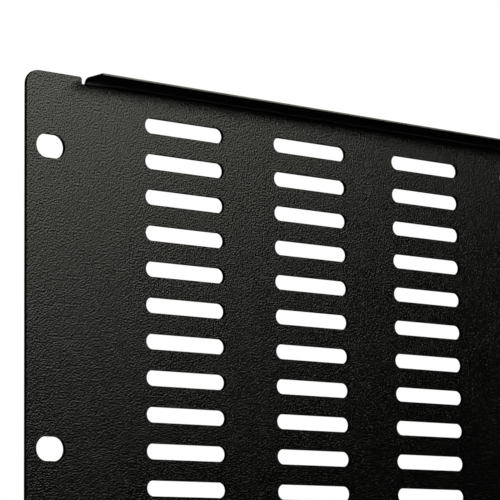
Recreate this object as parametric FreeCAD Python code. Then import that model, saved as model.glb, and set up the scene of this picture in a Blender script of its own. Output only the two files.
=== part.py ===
import FreeCAD
import Part
import math
import os

# Vented blanking panel for a 19-inch equipment rack, three rack units high.
#
# The panel is one piece of sheet steel.  A flat face closes the opening between the rack's
# two front rails and is punched with a field of ventilation slots.  An ear at each end lies
# on a rail and is bolted to it through two slotted holes.  Between the ears the top and the
# bottom edge are folded back into a stiffening flange.  A relief notch at each end of a fold
# parts it from the ear, down to the line where the fold begins, and bites a little way into
# the fold, so that the flange reaches slightly further than the fold that carries it.
#
# Frame: millimetres, +Z up, +X to the right as the face is seen from the front, +Y to the
# rear.  The origin is the middle of the four bolt slots, on the rear surface of the sheet,
# which is the surface that seats on the rails.

# ---------------------------------------------------------------- driving dimensions

# Rack standard
RACK_UNIT = 44.45                # height of one rack unit
UNITS_HIGH = 3                   # rack units that the panel closes
RAIL_BOLT_SPAN = 465.1           # between the bolt columns of the left and the right rail

# Sheet, folds and flanges
SHEET = 1.2                      # thickness, coating included
BEND_INNER_RADIUS = 0.9          # inside radius of each fold
FLANGE_REACH = 8.2               # from the seating surface to the flange's free edge
FLANGE_CORNER_RADIUS = 2.8       # rounding of the flange's two free corners

# Ears and their bolt slots
BOLT_SLOT_LENGTH = 10.3          # end to end, across the rack
BOLT_SLOT_HEIGHT = 7.1
BOLT_SLOT_END_LAND = 3.6         # sheet left between a bolt slot and the end of the panel
BOLT_SLOT_RELIEF_LAND = 6.3      # sheet left between a bolt slot and the relief notch
EAR_CORNER_RADIUS = 4.5          # at the panel's four corners
EAR_SHOULDER_RADIUS = 0.9        # where an ear's edge turns down into the relief notch

# Relief notch at each end of a fold
FLANGE_GAP = 1.1                 # between the ear and the end of the flange
RELIEF_BITE = 0.6                # how much further the notch goes, into the fold

# Ventilation slots
VENT_LENGTH = 31.0               # end to end, across the rack
VENT_HEIGHT = 4.7
VENT_POST = 20.9                 # sheet left between two slots of a row
VENT_BAR = 6.3                   # sheet left between two rows

# ---------------------------------------------------------------- dependent dimensions

PANEL_HEIGHT = UNITS_HIGH * RACK_UNIT
PANEL_WIDTH = RAIL_BOLT_SPAN + BOLT_SLOT_LENGTH + 2 * BOLT_SLOT_END_LAND
PANEL_TOP = PANEL_HEIGHT / 2
PANEL_END = PANEL_WIDTH / 2

BOLT_COLUMN = RAIL_BOLT_SPAN / 2
BOLT_ROW = PANEL_TOP - RACK_UNIT / 2             # middle of the top unit

BEND_OUTER_RADIUS = BEND_INNER_RADIUS + SHEET
BEND_LINE = PANEL_TOP - BEND_OUTER_RADIUS        # height at which the top fold begins

EAR_WALL = PANEL_END - BOLT_SLOT_END_LAND - BOLT_SLOT_LENGTH - BOLT_SLOT_RELIEF_LAND
FLANGE_END = EAR_WALL - FLANGE_GAP
BEND_END = FLANGE_END - RELIEF_BITE

# The field of slots is centred on the face.  It has as many rows as leave at least one bar
# below the top fold and above the bottom one, and as many columns as leave at least one
# post before each end of the flanges.
VENT_COLUMN_PITCH = VENT_LENGTH + VENT_POST
VENT_ROW_PITCH = VENT_HEIGHT + VENT_BAR
VENT_ROWS = math.floor((2 * BEND_LINE - VENT_BAR) / VENT_ROW_PITCH)
VENT_COLUMNS = math.floor((2 * FLANGE_END - VENT_POST) / VENT_COLUMN_PITCH)

ORIGIN = FreeCAD.Vector(0, 0, 0)
ACROSS = FreeCAD.Vector(1, 0, 0)
REARWARD = FreeCAD.Vector(0, 1, 0)
UPWARD = FreeCAD.Vector(0, 0, 1)


def place(across, rearward, up):
    """Return a point of the panel's frame."""
    return ACROSS * across + REARWARD * rearward + UPWARD * up


def tangent_point(corner, neighbour, radius):
    """Return where the rounding of a right-angled corner meets the side towards a neighbour."""
    return corner + (neighbour - corner).normalize() * radius


def rounded_face(corners):
    """Return a flat face whose corners are all right angles, each with its own rounding.

    corners lists (point, radius) in order round the face.  A radius of 0 is a sharp corner.
    """
    edges = []
    for index, (corner, radius) in enumerate(corners):
        previous = corners[index - 1][0]
        following, following_radius = corners[(index + 1) % len(corners)]
        start = tangent_point(corner, previous, radius)
        end = tangent_point(corner, following, radius)
        if radius > 0:
            to_centre = (start - corner) + (end - corner)
            middle = corner + to_centre * (1 - math.sqrt(0.5))
            edges.append(Part.Arc(start, middle, end).toShape())
        next_start = tangent_point(following, corner, following_radius)
        edges.append(Part.LineSegment(end, next_start).toShape())
    return Part.Face(Part.Wire(edges))


def obround(across, up, length, height):
    """Return a slot-shaped face in the seating plane, with full-radius ends."""
    radius = height / 2
    left = across - length / 2 + radius
    right = across + length / 2 - radius
    bottom = up - radius
    top = up + radius
    outline = Part.Wire([
        Part.LineSegment(place(left, 0, bottom), place(right, 0, bottom)).toShape(),
        Part.Arc(place(right, 0, bottom), place(right + radius, 0, up), place(right, 0, top)).toShape(),
        Part.LineSegment(place(right, 0, top), place(left, 0, top)).toShape(),
        Part.Arc(place(left, 0, top), place(left - radius, 0, up), place(left, 0, bottom)).toShape(),
    ])
    return Part.Face(outline)


def centred_row(count, pitch):
    """Return the places of a number of things set at a pitch about zero."""
    first = -(count - 1) * pitch / 2
    return [first + step * pitch for step in range(count)]


def vent_slots():
    """Return the field of ventilation slots."""
    return [
        obround(across, up, VENT_LENGTH, VENT_HEIGHT)
        for up in centred_row(VENT_ROWS, VENT_ROW_PITCH)
        for across in centred_row(VENT_COLUMNS, VENT_COLUMN_PITCH)
    ]


def bolt_slots():
    """Return the two bolt slots of each ear."""
    return [
        obround(side * BOLT_COLUMN, level * BOLT_ROW, BOLT_SLOT_LENGTH, BOLT_SLOT_HEIGHT)
        for side in (-1, 1)
        for level in (-1, 1)
    ]


def flat_face():
    """Return the flat part of the panel: the punched face with its two ears.

    Its outline runs round each ear and along the two lines where the folds begin, which are
    also the floors of the relief notches.
    """
    quarter = [
        (EAR_WALL, BEND_LINE, 0),
        (EAR_WALL, PANEL_TOP, EAR_SHOULDER_RADIUS),
        (PANEL_END, PANEL_TOP, EAR_CORNER_RADIUS),
    ]
    half = quarter + [(across, -up, radius) for across, up, radius in reversed(quarter)]
    outline = half + [(-across, up, radius) for across, up, radius in reversed(half)]
    blank = rounded_face([(place(across, 0, up), radius) for across, up, radius in outline])
    punched = blank.cut(vent_slots() + bolt_slots())
    return punched.Faces[0].extrude(REARWARD * -SHEET)


def top_fold():
    """Return the quarter turn of the top fold.

    The edge of the flat face is revolved about the line that the sheet is bent round.
    """
    sheet_edge = rounded_face([
        (place(-BEND_END, -SHEET, BEND_LINE), 0),
        (place(BEND_END, -SHEET, BEND_LINE), 0),
        (place(BEND_END, 0, BEND_LINE), 0),
        (place(-BEND_END, 0, BEND_LINE), 0),
    ])
    return sheet_edge.revolve(place(0, BEND_INNER_RADIUS, BEND_LINE), ACROSS, -90)


def top_flange():
    """Return the flat leg that runs back from the top fold, with its free corners rounded."""
    leg = rounded_face([
        (place(-FLANGE_END, BEND_INNER_RADIUS, PANEL_TOP), 0),
        (place(FLANGE_END, BEND_INNER_RADIUS, PANEL_TOP), 0),
        (place(FLANGE_END, FLANGE_REACH, PANEL_TOP), FLANGE_CORNER_RADIUS),
        (place(-FLANGE_END, FLANGE_REACH, PANEL_TOP), FLANGE_CORNER_RADIUS),
    ])
    return leg.extrude(UPWARD * -SHEET)


def vented_panel():
    """Return the whole panel as one solid."""
    top = [top_fold(), top_flange()]
    bottom = [piece.mirror(ORIGIN, UPWARD) for piece in top]
    return flat_face().fuse(top + bottom).removeSplitter().Solids[0]


os.makedirs("parts", exist_ok=True)
vented_panel().exportStep("parts/vented_panel.step")
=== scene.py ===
import logging
import math
from dataclasses import dataclass, field
from enum import Enum

import bmesh
import bpy
from bmesh.types import BMEdge, BMesh, BMFace, BMVert
from mathutils import Matrix, Vector


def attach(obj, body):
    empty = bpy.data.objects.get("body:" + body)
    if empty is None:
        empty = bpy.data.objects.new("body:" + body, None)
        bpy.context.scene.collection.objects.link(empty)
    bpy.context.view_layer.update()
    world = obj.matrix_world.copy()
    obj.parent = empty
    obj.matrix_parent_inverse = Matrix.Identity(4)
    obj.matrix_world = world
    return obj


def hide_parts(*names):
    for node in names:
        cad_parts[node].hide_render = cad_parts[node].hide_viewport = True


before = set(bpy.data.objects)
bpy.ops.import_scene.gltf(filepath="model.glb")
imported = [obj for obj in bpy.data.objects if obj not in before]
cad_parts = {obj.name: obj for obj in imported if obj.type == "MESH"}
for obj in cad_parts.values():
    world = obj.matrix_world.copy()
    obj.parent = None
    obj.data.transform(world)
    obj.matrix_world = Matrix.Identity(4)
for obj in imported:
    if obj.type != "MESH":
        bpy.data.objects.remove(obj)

LOG = logging.getLogger("blanking_panel")
MM = 0.001
CAD_NODE = "vented_panel"
# Places closer together than this are taken as one.
NEAR = 0.01 * MM
# How far along one axis a unit normal points when its face is square to that axis.
SQUARE = 0.99999
# How far along one axis a direction points when it runs mostly along that axis.
MOSTLY = 0.9
# How far along X a unit normal points at the end of a flange and on the last of its corner.
ENDWAYS = 0.6
# How little of a unit normal points up when its face stands upright.
UPRIGHT = 0.01
# The range that most values of a noise texture lie in.
NOISE_LOW, NOISE_HIGH = 0.3, 0.7
Colour = tuple[float, float, float]
CARD_BLACK: Colour = (0.003, 0.003, 0.003)


class Side(Enum):
    """The two ways along an axis of the panel."""

    LOW = -1
    HIGH = 1


class Finish(Enum):
    """The panel's coat and the painted shade on its cut walls, by their material slots."""

    COAT = 0
    CUT = 1


@dataclass(frozen=True)
class Slot:
    """A round-ended slot in the sheet, lying along the panel.

    Attributes:
        x: Middle of the slot along the panel.
        z: Middle of the slot up the panel.
        length: Overall length.
        height: Overall height, which is the diameter of its ends.
    """

    x: float
    z: float
    length: float
    height: float

    @property
    def run(self) -> float:
        """Length of the straight part."""
        return self.length - self.height


@dataclass(frozen=True)
class SheetSizes:
    """Sizes of the folded sheet, the ones its CAD solid is built from.

    Attributes:
        panel_width: Overall width, from ear to ear.
        panel_height: Overall height, three rack units.
        thickness: Thickness of the sheet.
        bend_inner_radius: Radius on the inside of each bend.
        flange_reach: How far a flange reaches back from the face's rear side.
        flange_corner_radius: Radius of a flange's free corners.
        flange_length: Length of a flange.
        relief_bite: How far a notch cuts in under the end of a flange.
        ear_gap: Gap between a flange's end and the ear beside it.
        ear_corner_radius: Radius of an ear's outer corners.
        ear_shoulder_radius: Radius of an ear's corner beside the notch.
        bolt_slot_length: Length of a bolt slot.
        bolt_slot_height: Height of a bolt slot.
        bolt_span: Distance between the two columns of bolt slots.
        bolt_rise: Distance between the two rows of bolt slots.
        vent_length: Length of a vent slot.
        vent_height: Height of a vent slot.
        vent_column_pitch: Distance from one column of vent slots to the next.
        vent_row_pitch: Distance from one row of vent slots to the next.
        vent_columns: How many columns there are.
        vent_rows: How many rows there are.
    """

    panel_width: float = 482.6 * MM
    panel_height: float = 133.35 * MM
    thickness: float = 1.2 * MM
    bend_inner_radius: float = 0.9 * MM
    flange_reach: float = 8.2 * MM
    flange_corner_radius: float = 2.8 * MM
    flange_length: float = 440.0 * MM
    relief_bite: float = 0.6 * MM
    ear_gap: float = 1.1 * MM
    ear_corner_radius: float = 4.5 * MM
    ear_shoulder_radius: float = 0.9 * MM
    bolt_slot_length: float = 10.3 * MM
    bolt_slot_height: float = 7.1 * MM
    bolt_span: float = 465.1 * MM
    bolt_rise: float = 88.9 * MM
    vent_length: float = 31.0 * MM
    vent_height: float = 4.7 * MM
    vent_column_pitch: float = 51.9 * MM
    vent_row_pitch: float = 11.0 * MM
    vent_columns: int = 8
    vent_rows: int = 11

    @property
    def end(self) -> float:
        """Half of the panel's width."""
        return self.panel_width / 2

    @property
    def top(self) -> float:
        """Half of the panel's height."""
        return self.panel_height / 2

    @property
    def bend_line(self) -> float:
        """Height at which the flat sheet starts to bend."""
        return self.top - self.thickness - self.bend_inner_radius

    @property
    def flange_end(self) -> float:
        """Half of the flange's length."""
        return self.flange_length / 2

    @property
    def bend_end(self) -> float:
        """Half of the length of the bend itself, inside its reliefs."""
        return self.flange_end - self.relief_bite

    @property
    def ear_wall(self) -> float:
        """Where the ear's full height starts."""
        return self.flange_end + self.ear_gap

    def vents(self) -> list[Slot]:
        """Every vent slot, row by row."""
        return [
            Slot(x, z, self.vent_length, self.vent_height)
            for z in centred(self.vent_rows, self.vent_row_pitch)
            for x in centred(self.vent_columns, self.vent_column_pitch)
        ]

    def bolt_slots(self) -> list[Slot]:
        """The four slots that the rack bolts go through."""
        return [
            Slot(x, z, self.bolt_slot_length, self.bolt_slot_height)
            for z in centred(2, self.bolt_rise)
            for x in centred(2, self.bolt_span)
        ]


def add_object(name: str, shape: BMesh) -> bpy.types.Object:
    """Makes an object of a finished shape, puts it in the scene and frees the shape.

    Args:
        name: The name of the object and of its mesh.
        shape: The shape.

    Returns:
        The object, at the origin.
    """
    mesh = bpy.data.meshes.new(name)
    shape.to_mesh(mesh)
    shape.free()
    made = bpy.data.objects.new(name, mesh)
    bpy.context.scene.collection.objects.link(made)
    return made


def centred(count: int, pitch: float) -> list[float]:
    """Evenly spaced positions, centred on zero.

    Args:
        count: How many there are.
        pitch: Distance from one to the next.

    Returns:
        The positions, lowest first.
    """
    return [(step - (count - 1) / 2) * pitch for step in range(count)]


@dataclass
class VentedPanel:
    """The one folded sheet: slotted face, two ears, and a flange along the top and the bottom.

    Attributes:
        sizes: Sizes of the sheet.
        slot_segments: How many straight pieces make up both ends of a slot.
        slot_rim: Width of the even ring of faces round a slot.
        bend_steps: How many straight pieces make up a bend.
        corner_segments: How many make up a rounded corner.
        edge_radius: Radius of the sheet's rounded edges.
        edge_segments: How many strips make up that rounding.
        roll_height: How much of a flange's free edge is rolled over, across its thickness.
        roll_depth: How far the rolled part falls back.
        sharp_angle: The least angle between faces at an edge that is rounded.
        name: Name of the piece.
    """

    sizes: SheetSizes = field(default_factory=SheetSizes)
    slot_segments: int = 48
    slot_rim: float = 0.6 * MM
    bend_steps: int = 10
    corner_segments: int = 8
    edge_radius: float = 0.08 * MM
    edge_segments: int = 3
    roll_height: float = 0.55 * MM
    roll_depth: float = 0.09 * MM
    sharp_angle: float = math.radians(60)
    name: str = "folded_vented_sheet"

    def build(self) -> bpy.types.Object:
        """Builds the panel's mesh and its object.

        Returns:
            The finished piece, at the origin.
        """
        sheet = bmesh.new()
        self.lay_out_blank(sheet)
        for slot in self.sizes.vents() + self.sizes.bolt_slots():
            self.punch(sheet, slot)
        for side in Side:
            self.fold_edge(sheet, side)
        bmesh.ops.remove_doubles(sheet, verts=sheet.verts[:], dist=NEAR)
        self.face_rearwards(sheet)
        self.thicken(sheet)
        for side in Side:
            self.roll_free_edge(sheet, side)
        self.mark_rims(sheet)
        piece = add_object(self.name, sheet)
        self.round_edges(piece)
        self.dress(piece)
        return piece

    def lay_out_blank(self, sheet: BMesh) -> None:
        """Makes the flat sheet's outline, rounds its ears and scores it along the rows and columns.

        Args:
            sheet: The mesh to build in.
        """
        sizes = self.sizes
        quarter = [
            (sizes.ear_wall, sizes.bend_line),
            (sizes.ear_wall, sizes.top),
            (sizes.end, sizes.top),
        ]
        right = quarter + [(x, -z) for x, z in reversed(quarter)]
        outline = right + [(-x, -z) for x, z in right]
        corners = [sheet.verts.new((x, 0.0, z)) for x, z in outline]
        sheet.faces.new(corners)
        ears = [v for v in corners if abs(v.co.x) > sizes.end - NEAR]
        shoulders = [v for v in corners if abs(v.co.z) > sizes.top - NEAR and v not in ears]
        self.round_corners(sheet, ears, sizes.ear_corner_radius)
        self.round_corners(sheet, shoulders, sizes.ear_shoulder_radius)
        columns = centred(sizes.vent_columns + 1, sizes.vent_column_pitch)
        rows = centred(sizes.vent_rows + 1, sizes.vent_row_pitch)
        for x in columns + [-sizes.bend_end, sizes.bend_end]:
            self.score(sheet, Vector((x, 0.0, 0.0)), Vector((1.0, 0.0, 0.0)))
        for z in rows:
            self.score(sheet, Vector((0.0, 0.0, z)), Vector((0.0, 0.0, 1.0)))

    def score(self, sheet: BMesh, point: Vector, normal: Vector) -> None:
        """Cuts the sheet's faces along a plane, and keeps both halves.

        Args:
            sheet: The mesh to cut.
            point: A point on the plane.
            normal: The plane's normal.
        """
        everything = sheet.verts[:] + sheet.edges[:] + sheet.faces[:]
        bmesh.ops.bisect_plane(sheet, geom=everything, dist=NEAR, plane_co=point, plane_no=normal)

    def round_corners(self, sheet: BMesh, corners: list[BMVert], radius: float) -> None:
        """Rounds right-angled corners of a flat outline.

        Args:
            sheet: The mesh that holds them.
            corners: The corners.
            radius: The radius they get.
        """
        bmesh.ops.bevel(
            sheet,
            geom=corners,
            offset=radius,
            offset_type="OFFSET",
            segments=self.corner_segments,
            profile=0.5,
            affect="VERTICES",
            material=-1,
        )

    def punch(self, sheet: BMesh, slot: Slot) -> None:
        """Opens a slot in the cell of the sheet that holds its middle.

        Args:
            sheet: The mesh to punch.
            slot: The slot.
        """
        cell = self.cell_at(sheet, slot)
        border = cell.edges[:]
        bmesh.ops.delete(sheet, geom=[cell], context="FACES_ONLY")
        half_step = math.pi / self.slot_segments
        ring = bmesh.ops.create_circle(
            sheet,
            cap_ends=False,
            segments=self.slot_segments,
            radius=slot.height / 2 / math.cos(half_step),
            matrix=Matrix.Rotation(half_step, 4, "Z"),
        )["verts"]
        hole = list(dict.fromkeys(edge for vert in ring for edge in vert.link_edges))
        made = bmesh.ops.extrude_edge_only(sheet, edges=hole)["geom"]
        rim = [item for item in made if isinstance(item, BMVert)]
        grow = 1 + 2 * self.slot_rim / slot.height
        bmesh.ops.scale(sheet, verts=rim, vec=(grow, grow, 1.0))
        for side in Side:
            half = [vert for vert in ring + rim if vert.co.x * side.value > 0]
            bmesh.ops.translate(sheet, verts=half, vec=(side.value * slot.run / 2, 0.0, 0.0))
        place = Matrix.Translation((slot.x, 0.0, slot.z)) @ Matrix.Rotation(math.pi / 2, 4, "X")
        bmesh.ops.transform(sheet, matrix=place, verts=ring + rim)
        outer = [item for item in made if isinstance(item, BMEdge) and set(item.verts) <= set(rim)]
        bmesh.ops.triangle_fill(sheet, use_beauty=True, use_dissolve=False, edges=border + outer)

    def cell_at(self, sheet: BMesh, slot: Slot) -> BMFace:
        """Finds the scored cell that a slot goes in.

        Args:
            sheet: The scored sheet.
            slot: The slot.

        Returns:
            The cell's face.
        """
        middle = Vector((slot.x, 0.0, slot.z))
        return min(
            (face for face in sheet.faces if bmesh.geometry.intersect_face_point(face, middle)),
            key=lambda face: (face.calc_center_bounds() - middle).length,
        )

    def fold_edge(self, sheet: BMesh, side: Side) -> None:
        """Folds a flange up from the top or the bottom edge of the sheet.

        Args:
            sheet: The mesh to fold.
            side: HIGH for the top flange, LOW for the bottom one.
        """
        sizes = self.sizes
        line = [
            edge
            for edge in sheet.edges
            if edge.is_boundary
            and all(
                abs(vert.co.z - side.value * sizes.bend_line) < NEAR
                and abs(vert.co.x) < sizes.bend_end + NEAR
                for vert in edge.verts
            )
        ]
        bent = bmesh.ops.spin(
            sheet,
            geom=line,
            cent=(0.0, sizes.bend_inner_radius, side.value * sizes.bend_line),
            axis=(1.0, 0.0, 0.0),
            angle=-side.value * math.pi / 2,
            steps=self.bend_steps,
            use_merge=False,
        )["geom_last"]
        lip = [item for item in bent if isinstance(item, BMEdge)]
        leg = bmesh.ops.extrude_edge_only(sheet, edges=lip)["geom"]
        free = [item for item in leg if isinstance(item, BMVert)]
        reach = sizes.flange_reach - sizes.bend_inner_radius
        bmesh.ops.translate(sheet, verts=free, vec=(0.0, reach, 0.0))
        for end in Side:
            border = [
                item
                for item in leg
                if isinstance(item, BMEdge)
                and all(abs(vert.co.x - end.value * sizes.bend_end) < NEAR for vert in item.verts)
            ]
            self.add_tab(sheet, border, end)

    def add_tab(self, sheet: BMesh, border: list[BMEdge], end: Side) -> None:
        """Carries one end of a flange past the end of its bend, and rounds its free corner.

        Args:
            sheet: The mesh that holds the flange.
            border: The edge at that end of the flange's flat leg.
            end: The end of the flange.
        """
        sizes = self.sizes
        made = bmesh.ops.extrude_edge_only(sheet, edges=border)["geom"]
        tips = [item for item in made if isinstance(item, BMVert)]
        bmesh.ops.translate(sheet, verts=tips, vec=(end.value * sizes.relief_bite, 0.0, 0.0))
        corner = [vert for vert in tips if vert.co.y > sizes.flange_reach - NEAR]
        bmesh.ops.dissolve_edges(sheet, edges=border, use_verts=False)
        self.round_corners(sheet, corner, sizes.flange_corner_radius)

    def face_rearwards(self, sheet: BMesh) -> None:
        """Turns the faces of the open sheet to one side, the rear of the panel.

        Args:
            sheet: The mesh to turn.
        """
        bmesh.ops.recalc_face_normals(sheet, faces=sheet.faces[:])
        if sum(face.normal.y * face.calc_area() for face in sheet.faces) < 0:
            bmesh.ops.reverse_faces(sheet, faces=sheet.faces[:])

    def thicken(self, sheet: BMesh) -> None:
        """Gives the sheet its thickness, on the front and outer side.

        Args:
            sheet: The mesh to thicken.
        """
        bmesh.ops.solidify(sheet, geom=sheet.faces[:], thickness=self.sizes.thickness)
        sheet.normal_update()

    def roll_free_edge(self, sheet: BMesh, side: Side) -> None:
        """Rolls the outer side of a flange's free edge over a little, the way a shear leaves it.

        Args:
            sheet: The thickened sheet.
            side: HIGH for the top flange, LOW for the bottom one.
        """
        sizes = self.sizes
        strip = self.free_edge_strip(sheet, side)
        ways = {
            vert: sum((face.normal for face in vert.link_faces if face in strip), Vector())
            for face in strip
            for vert in face.verts
            if abs(vert.co.z) > sizes.top - NEAR
        }
        edges = dict.fromkeys(edge for face in strip for edge in face.edges)
        verts = dict.fromkeys(vert for face in strip for vert in face.verts)
        bmesh.ops.bisect_plane(
            sheet,
            geom=[*verts, *edges, *strip],
            dist=NEAR,
            plane_co=(0.0, 0.0, side.value * (sizes.top - self.roll_height)),
            plane_no=(0.0, 0.0, 1.0),
        )
        for vert, way in ways.items():
            fall = way.normalized() * -self.roll_depth
            bmesh.ops.translate(sheet, verts=[vert], vec=fall)
        sheet.normal_update()

    def free_edge_strip(self, sheet: BMesh, side: Side) -> list[BMFace]:
        """Finds the strip of faces along a flange's free edge, as far as the rounded corners go.

        Args:
            sheet: The thickened sheet.
            side: HIGH for the top flange, LOW for the bottom one.

        Returns:
            The faces of the strip.
        """
        corner_start = self.sizes.flange_reach - self.sizes.flange_corner_radius
        middles = {face: face.calc_center_median() for face in sheet.faces}
        return [
            face
            for face, middle in middles.items()
            if abs(face.normal.z) < UPRIGHT
            and middle.y > corner_start
            and middle.z * side.value > 0
        ]

    def mark_rims(self, sheet: BMesh) -> None:
        """Marks the sharp edges along the sheet's border, the ones that are rounded.

        Args:
            sheet: The thickened sheet.
        """
        weights = sheet.edges.layers.float.new("bevel_weight_edge")
        for edge in sheet.edges:
            edge[weights] = float(self.is_rim(edge))

    def round_edges(self, piece: bpy.types.Object) -> None:
        """Rounds the marked edges of the piece, keeps its front flat and shades it.

        Args:
            piece: The piece, still with sharp edges.
        """
        bevel = piece.modifiers.new("rounded_edges", "BEVEL")
        bevel.limit_method = "WEIGHT"
        bevel.width = self.edge_radius
        bevel.segments = self.edge_segments
        bevel.profile = 0.5
        bevel.use_clamp_overlap = False
        sharp = piece.data
        rounded = bpy.data.meshes.new_from_object(
            piece.evaluated_get(bpy.context.evaluated_depsgraph_get())
        )
        piece.modifiers.clear()
        rounded.name = self.name
        piece.data = rounded
        bpy.data.meshes.remove(sharp)
        sheet = bmesh.new()
        sheet.from_mesh(rounded)
        for vert in sheet.verts:
            vert.co.y = max(vert.co.y, -self.sizes.thickness)
        sheet.normal_update()
        self.set_shading(sheet)
        sheet.to_mesh(rounded)
        sheet.free()

    def is_rim(self, edge: BMEdge) -> bool:
        """Tells an edge along the sheet's border from one that crosses its thickness.

        Args:
            edge: The edge.

        Returns:
            True for a sharp edge that follows the border.
        """
        if not edge.is_manifold or edge.calc_face_angle() < self.sharp_angle:
            return False
        middle = (edge.verts[0].co + edge.verts[1].co) / 2
        way = (edge.verts[1].co - edge.verts[0].co).normalized()
        across = abs(way.y) if middle.y < NEAR else abs(way.z)
        return across < MOSTLY

    def set_shading(self, sheet: BMesh) -> None:
        """Shades the square faces flat and the rounded ones smooth, and gives the cut walls the
        painted shade.

        Args:
            sheet: The mesh to shade.
        """
        for face in sheet.faces:
            face.smooth = max(abs(part) for part in face.normal) < SQUARE
            # Cut walls get the painted shade, a black copy of the coat without gloss.
            if self.is_shaded_cut(face):
                face.material_index = Finish.CUT.value

    def is_shaded_cut(self, face: BMFace) -> bool:
        """Tells a face that the shear or the punch left from one of the sheet's two skins, the
        faces that get painted shade.

        Args:
            face: The face, of the finished sheet.

        Returns:
            True for a cut wall or the rounding beside it, but not along a flange's outer edge.
        """
        middle = face.calc_center_median()
        if abs(middle.z) < self.sizes.bend_line or abs(middle.x) > self.sizes.flange_end + NEAR:
            return abs(face.normal.y) < SQUARE
        past_bend = middle.y > self.sizes.bend_inner_radius
        below_roll = abs(middle.z) < self.sizes.top - self.roll_height
        on_free_edge = past_bend and below_roll and abs(face.normal.z) < SQUARE
        return on_free_edge or abs(face.normal.x) > ENDWAYS

    def dress(self, piece: bpy.types.Object) -> None:
        """Gives the piece its coat and the painted shade for its cut walls, each in its own slot.

        Args:
            piece: The rounded piece.
        """
        # The cut walls get painted shade: the coat's black without any gloss.
        finishes = {Finish.COAT: PowderCoat(), Finish.CUT: ShadedCutWall()}
        for slot in Finish:
            piece.data.materials.append(finishes[slot].material())


@dataclass(frozen=True)
class LeatherGrain:
    """The fine leathery grain that a textured powder coat cures to, as a shader node group.

    Attributes:
        name: The node group's name.
        detail: How many finer layers lie on the main pebbles.
        fineness: How strong each finer layer is against the one before.
        patch: Size of the slow, cloudy changes in the coat.
        patch_detail: How many finer layers lie on those changes.
    """

    name: str = "leather_grain"
    detail: float = 1.0
    fineness: float = 0.5
    patch: float = 14.0 * MM
    patch_detail: float = 2.0

    def group(self) -> bpy.types.NodeTree:
        """Finds the node group, and makes it the first time.

        Returns:
            The group, with inputs Vector and Pebble, and outputs Height and Cloud.
        """
        found = bpy.data.node_groups.get(self.name)
        if found is not None:
            return found
        tree = bpy.data.node_groups.new(self.name, "ShaderNodeTree")
        tree.interface.new_socket("Vector", in_out="INPUT", socket_type="NodeSocketVector")
        tree.interface.new_socket("Pebble", in_out="INPUT", socket_type="NodeSocketFloat")
        tree.interface.new_socket("Height", in_out="OUTPUT", socket_type="NodeSocketFloat")
        tree.interface.new_socket("Cloud", in_out="OUTPUT", socket_type="NodeSocketFloat")
        inside = tree.nodes.new("NodeGroupInput")
        outside = tree.nodes.new("NodeGroupOutput")
        density = tree.nodes.new("ShaderNodeMath")
        density.operation = "DIVIDE"
        density.inputs[0].default_value = 1.0
        pebbles = tree.nodes.new("ShaderNodeTexNoise")
        pebbles.inputs["Detail"].default_value = self.detail
        pebbles.inputs["Roughness"].default_value = self.fineness
        clouds = tree.nodes.new("ShaderNodeTexNoise")
        clouds.inputs["Scale"].default_value = 1 / self.patch
        clouds.inputs["Detail"].default_value = self.patch_detail
        link = tree.links.new
        link(inside.outputs["Pebble"], density.inputs[1])
        link(density.outputs["Value"], pebbles.inputs["Scale"])
        link(inside.outputs["Vector"], pebbles.inputs["Vector"])
        link(inside.outputs["Vector"], clouds.inputs["Vector"])
        link(pebbles.outputs["Fac"], outside.inputs["Height"])
        link(clouds.outputs["Fac"], outside.inputs["Cloud"])
        return tree

    def place(self, tree: bpy.types.NodeTree, pebble: float) -> bpy.types.Node:
        """Puts the group in a material, on the piece's own coordinates.

        Args:
            tree: The material's nodes.
            pebble: Size of one pebble of the grain.

        Returns:
            The group's node.
        """
        node = tree.nodes.new("ShaderNodeGroup")
        node.node_tree = self.group()
        node.inputs["Pebble"].default_value = pebble
        place = tree.nodes.new("ShaderNodeTexCoord")
        tree.links.new(place.outputs["Object"], node.inputs["Vector"])
        return node


def link_bump(tree: bpy.types.NodeTree, height: bpy.types.NodeSocket, depth: float) -> None:
    """Raises a height pattern on a material's surface.

    Args:
        tree: The material's nodes, its Principled BSDF among them.
        height: The output that gives the pattern, from 0 to 1.
        depth: How high 1 stands above 0.
    """
    bump = tree.nodes.new("ShaderNodeBump")
    bump.inputs["Distance"].default_value = depth
    tree.links.new(height, bump.inputs["Height"])
    tree.links.new(bump.outputs["Normal"], tree.nodes["Principled BSDF"].inputs["Normal"])


def link_tint(
    tree: bpy.types.NodeTree, mask: bpy.types.NodeSocket, dark: Colour, light: Colour
) -> None:
    """Lets a mask move a material's colour between a dark and a light tint.

    Args:
        tree: The material's nodes, its Principled BSDF among them.
        mask: The output that gives the mask.
        dark: The tint where the mask is 0.
        light: The tint where it is 1.
    """
    tint = tree.nodes.new("ShaderNodeMix")
    tint.data_type = "RGBA"
    tint.inputs["A"].default_value = (*dark, 1.0)
    tint.inputs["B"].default_value = (*light, 1.0)
    tree.links.new(mask, tint.inputs["Factor"])
    tree.links.new(tint.outputs["Result"], tree.nodes["Principled BSDF"].inputs["Base Color"])


def link_range(
    tree: bpy.types.NodeTree, mask: bpy.types.NodeSocket, socket: str, low: float, high: float
) -> None:
    """Lets a noise mask move one of a shader's values between two ends.

    Args:
        tree: The material's nodes, its Principled BSDF among them.
        mask: The output that gives the mask.
        socket: Name of the shader's input.
        low: The value at the mask's low end.
        high: The value at its high end.
    """
    spread = tree.nodes.new("ShaderNodeMapRange")
    spread.inputs["From Min"].default_value = NOISE_LOW
    spread.inputs["From Max"].default_value = NOISE_HIGH
    spread.inputs["To Min"].default_value = low
    spread.inputs["To Max"].default_value = high
    tree.links.new(mask, spread.inputs["Value"])
    tree.links.new(spread.outputs["Result"], tree.nodes["Principled BSDF"].inputs[socket])


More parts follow.
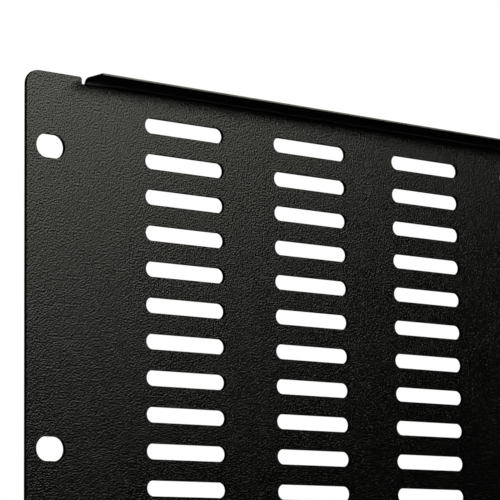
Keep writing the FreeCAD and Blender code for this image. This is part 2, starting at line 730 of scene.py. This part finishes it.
@dataclass(frozen=True)
class PowderCoat:
    """A black powder coat with a fine leathery texture.

    Attributes:
        dark: Colour in the hollows of the grain, painted darker there as shade.
        light: Colour on its pebbles.
        smooth: Roughness where the coat has flowed out best.
        dull: Roughness where it has flowed out least.
        pebble: Size of one pebble of the grain.
        depth: Height of the pebbles.
    """

    dark: Colour = (0.0004, 0.0004, 0.0004)
    light: Colour = (0.0012, 0.0012, 0.0011)
    smooth: float = 0.165
    dull: float = 0.205
    pebble: float = 0.55 * MM
    depth: float = 0.14 * MM

    def material(self) -> bpy.types.Material:
        """Makes the coat's material.

        Returns:
            The material, with its nodes.
        """
        made = bpy.data.materials.new("black_powder_coat")
        made.use_nodes = True
        tree = made.node_tree
        grain = LeatherGrain().place(tree, self.pebble)
        # The tint follows the grain's height, so its hollows are painted darker: painted shade in
        # the grain.
        link_tint(tree, grain.outputs["Height"], self.dark, self.light)
        link_range(tree, grain.outputs["Cloud"], "Roughness", self.smooth, self.dull)
        link_bump(tree, grain.outputs["Height"], self.depth)
        return made


@dataclass(frozen=True)
class ShadedCutWall:
    """The thin matt coat inside the slots and on the sheet's cut edges.

    Attributes:
        dark: Colour in the hollows of the grain, painted darker there as shade.
        light: Colour on its pebbles.
        roughness: Roughness, the same all over.
        pebble: Size of one pebble of the grain.
        depth: Height of the pebbles.
    """

    dark: Colour = (0.0006, 0.0006, 0.0006)
    light: Colour = (0.0012, 0.0012, 0.0012)
    roughness: float = 0.9
    pebble: float = 0.5 * MM
    depth: float = 0.05 * MM

    def material(self) -> bpy.types.Material:
        """Makes the wall's painted-shade material.

        Returns:
            The material, with its nodes.
        """
        made = bpy.data.materials.new("cut_wall_painted_shade")
        made.use_nodes = True
        tree = made.node_tree
        shader = tree.nodes["Principled BSDF"]
        shader.inputs["Roughness"].default_value = self.roughness
        # No gloss, so the walls stay black whatever they face: painted shade.
        shader.inputs["Specular IOR Level"].default_value = 0.0
        grain = LeatherGrain().place(tree, self.pebble)
        # The tint follows the grain's height, so its hollows are painted darker as shade.
        link_tint(tree, grain.outputs["Height"], self.dark, self.light)
        link_bump(tree, grain.outputs["Height"], self.depth)
        return made


@dataclass(frozen=True)
class MattPaint:
    """A studio paint with no gloss.

    Attributes:
        name: Name of the material.
        colour: The paint's one colour.
    """

    name: str
    colour: Colour

    def material(self) -> bpy.types.Material:
        """Makes the paint's material.

        Returns:
            The material.
        """
        made = bpy.data.materials.new(self.name)
        made.use_nodes = True
        shader = made.node_tree.nodes["Principled BSDF"]
        shader.inputs["Base Color"].default_value = (*self.colour, 1.0)
        shader.inputs["Roughness"].default_value = 1.0
        shader.inputs["Specular IOR Level"].default_value = 0.0
        return made


@dataclass(frozen=True)
class SoftBox:
    """A rectangular studio lamp that faces the middle of the panel and shows only in its gloss.

    Attributes:
        name: Name of the lamp.
        heading: Its direction from the panel's middle, round from +X, in degrees.
        rise: Its direction above the level, in degrees.
        distance: How far off it is.
        width: Its size along its level side.
        height: Its size along the other side.
        radiance: How bright its face is.
        colour: Its colour.
    """

    name: str
    heading: float
    rise: float
    distance: float
    width: float
    height: float
    radiance: float
    colour: Colour = (0.985, 1.0, 0.89)

    def place(self) -> None:
        """Puts the lamp in the scene."""
        lamp = bpy.data.lights.new(self.name, "AREA")
        lamp.shape = "RECTANGLE"
        lamp.size = self.width
        lamp.size_y = self.height
        lamp.energy = self.radiance * math.pi * self.width * self.height
        lamp.color = self.colour
        holder = bpy.data.objects.new(self.name, lamp)
        heading, rise = math.radians(self.heading), math.radians(self.rise)
        way = Vector(
            (math.cos(heading) * math.cos(rise), math.sin(heading) * math.cos(rise), math.sin(rise))
        )
        holder.location = way * self.distance
        holder.rotation_euler = way.to_track_quat("Z", "Y").to_euler()
        holder.visible_camera = False
        holder.visible_diffuse = False
        bpy.context.scene.collection.objects.link(holder)


@dataclass(frozen=True)
class BlackCard:
    """A black studio card that only the coat's gloss sees.

    Attributes:
        name: Name of the card.
    """

    name: str

    def shape(self, card: BMesh, floor_height: float) -> None:
        """Makes the card's faces.

        Args:
            card: The mesh to make them in.
            floor_height: Height of the floor that the card stands or lies on.
        """
        raise NotImplementedError

    def place(self, floor_height: float) -> None:
        """Puts the card in the scene.

        Args:
            floor_height: Height of the floor that the card stands or lies on.
        """
        card = bmesh.new()
        self.shape(card, floor_height)
        holder = add_object(self.name, card)
        holder.visible_camera = False
        holder.visible_diffuse = False
        holder.visible_shadow = False
        holder.visible_transmission = False
        holder.visible_volume_scatter = False
        holder.data.materials.append(MattPaint(self.name, CARD_BLACK).material())


@dataclass(frozen=True)
class StandingCard(BlackCard):
    """A card that stands in an arc round the panel.

    Attributes:
        first: Heading of the arc's start from +X, in degrees.
        last: Heading of its end.
        distance: Radius of the arc.
        top: Height of its upper edge.
        steps: How many flat strips it is made of.
    """

    first: float
    last: float
    distance: float
    top: float
    steps: int = 16

    def shape(self, card: BMesh, floor_height: float) -> None:
        """Makes the arc from its first upright edge.

        Args:
            card: The mesh to make it in.
            floor_height: Height of the arc's foot.
        """
        foot = card.verts.new((self.distance, 0.0, floor_height))
        head = card.verts.new((self.distance, 0.0, self.top))
        card.edges.new((foot, head))
        bmesh.ops.rotate(
            card, verts=card.verts[:], matrix=Matrix.Rotation(math.radians(self.first), 3, "Z")
        )
        bmesh.ops.spin(
            card,
            geom=card.edges[:],
            axis=(0.0, 0.0, 1.0),
            angle=math.radians(self.last - self.first),
            steps=self.steps,
            use_merge=False,
        )


@dataclass(frozen=True)
class LyingCard(BlackCard):
    """A card that lies just above the floor.

    Attributes:
        middle: Where its middle is, along X and Y.
        size: How far it reaches along X and Y.
        lift: How far it lies above the floor.
    """

    middle: tuple[float, float]
    size: tuple[float, float]
    lift: float = 1.0 * MM

    def shape(self, card: BMesh, floor_height: float) -> None:
        """Makes the one flat face.

        Args:
            card: The mesh to make it in.
            floor_height: Height of the floor.
        """
        bmesh.ops.create_grid(card, x_segments=1, y_segments=1, size=0.5)
        bmesh.ops.scale(card, verts=card.verts[:], vec=(*self.size, 1.0))
        bmesh.ops.translate(card, verts=card.verts[:], vec=(*self.middle, floor_height + self.lift))


@dataclass(frozen=True)
class Studio:
    """Floor, white room, lamp and cards.

    Attributes:
        floor_height: Height of the floor.
        floor_half: How far the floor reaches each way.
        floor_paint: The floor's paint.
        key: The one lamp.
        cards: The black cards that the coat mirrors.
    """

    floor_height: float = -0.12
    floor_half: float = 6.0
    floor_paint: MattPaint = MattPaint("pale_floor", (0.8, 0.8, 0.79))
    key: SoftBox = SoftBox(
        name="key_softbox",
        heading=79.7,
        rise=71.2,
        distance=0.553,
        width=1.402,
        height=1.984,
        radiance=2.9,
    )
    cards: tuple[BlackCard, ...] = (
        StandingCard(name="standing_black_card", first=85.0, last=185.0, distance=1.9, top=1.6),
        LyingCard(name="lying_black_card", middle=(-0.925, 0.97), size=(2.15, 1.9)),
    )

    def build(self) -> None:
        """Puts the studio in the scene."""
        self.lay_floor()
        self.light_world()
        self.key.place()
        for card in self.cards:
            card.place(self.floor_height)

    def lay_floor(self) -> None:
        """Lays the plain pale floor."""
        ground = bmesh.new()
        bmesh.ops.create_grid(ground, x_segments=1, y_segments=1, size=self.floor_half)
        bmesh.ops.translate(ground, verts=ground.verts[:], vec=(0.0, 0.0, self.floor_height))
        floor = add_object("studio_floor", ground)
        floor.data.materials.append(self.floor_paint.material())

    def light_world(self) -> None:
        """Makes the room behind everything white."""
        world = bpy.data.worlds.new("studio_world")
        bpy.context.scene.world = world
        world.use_nodes = True
        back = world.node_tree.nodes["Background"]
        back.inputs["Color"].default_value = (1.0, 1.0, 1.0, 1.0)
        back.inputs["Strength"].default_value = 1.0


@dataclass(frozen=True)
class Viewpoint:
    """Where the camera stands and how it is turned.

    Attributes:
        place: Where its lens is.
        heading: How far it is turned round from +Y, to the left, in degrees.
        pitch: How far it looks up, in degrees.
        roll: How far it is tilted round its own line of sight, in degrees.
        lens: Its focal length, in millimetres.
        sensor: The width of its sensor, in millimetres.
        clip_start: The nearest thing it sees.
    """

    place: tuple[float, float, float] = (0.652038, 0.575070, -0.090689)
    heading: float = 139.2068
    pitch: float = 8.3009
    roll: float = -0.6838
    lens: float = 176.7806
    sensor: float = 36.0
    clip_start: float = 10.0 * MM

    def build(self) -> None:
        """Makes the scene's camera."""
        camera = bpy.data.cameras.new("camera")
        camera.sensor_width = self.sensor
        camera.lens = self.lens
        camera.clip_start = self.clip_start
        holder = bpy.data.objects.new("camera", camera)
        holder.matrix_world = (
            Matrix.Translation(self.place)
            @ Matrix.Rotation(math.radians(self.heading), 4, "Z")
            @ Matrix.Rotation(math.radians(90 + self.pitch), 4, "X")
            @ Matrix.Rotation(math.radians(self.roll), 4, "Z")
        )
        bpy.context.scene.collection.objects.link(holder)
        bpy.context.scene.camera = holder


def corners(box: tuple[Vector, Vector]) -> list[list[float]]:
    """A box's two corners as plain lists."""
    return [list(corner) for corner in box]


def main() -> None:
    """Builds the panel, its coat and painted shade, the studio and the camera, in that order."""
    logging.basicConfig(level=logging.INFO, format="%(name)s: %(message)s")
    scene = bpy.context.scene
    scene.view_settings.view_transform = "Standard"
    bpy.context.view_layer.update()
    panel = VentedPanel().build()
    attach(panel, "root")
    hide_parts(CAD_NODE)
    LOG.info("%s: %d faces", panel.name, len(panel.data.polygons))
    Studio().build()
    Viewpoint().build()


if __name__ == "__main__":
    main()
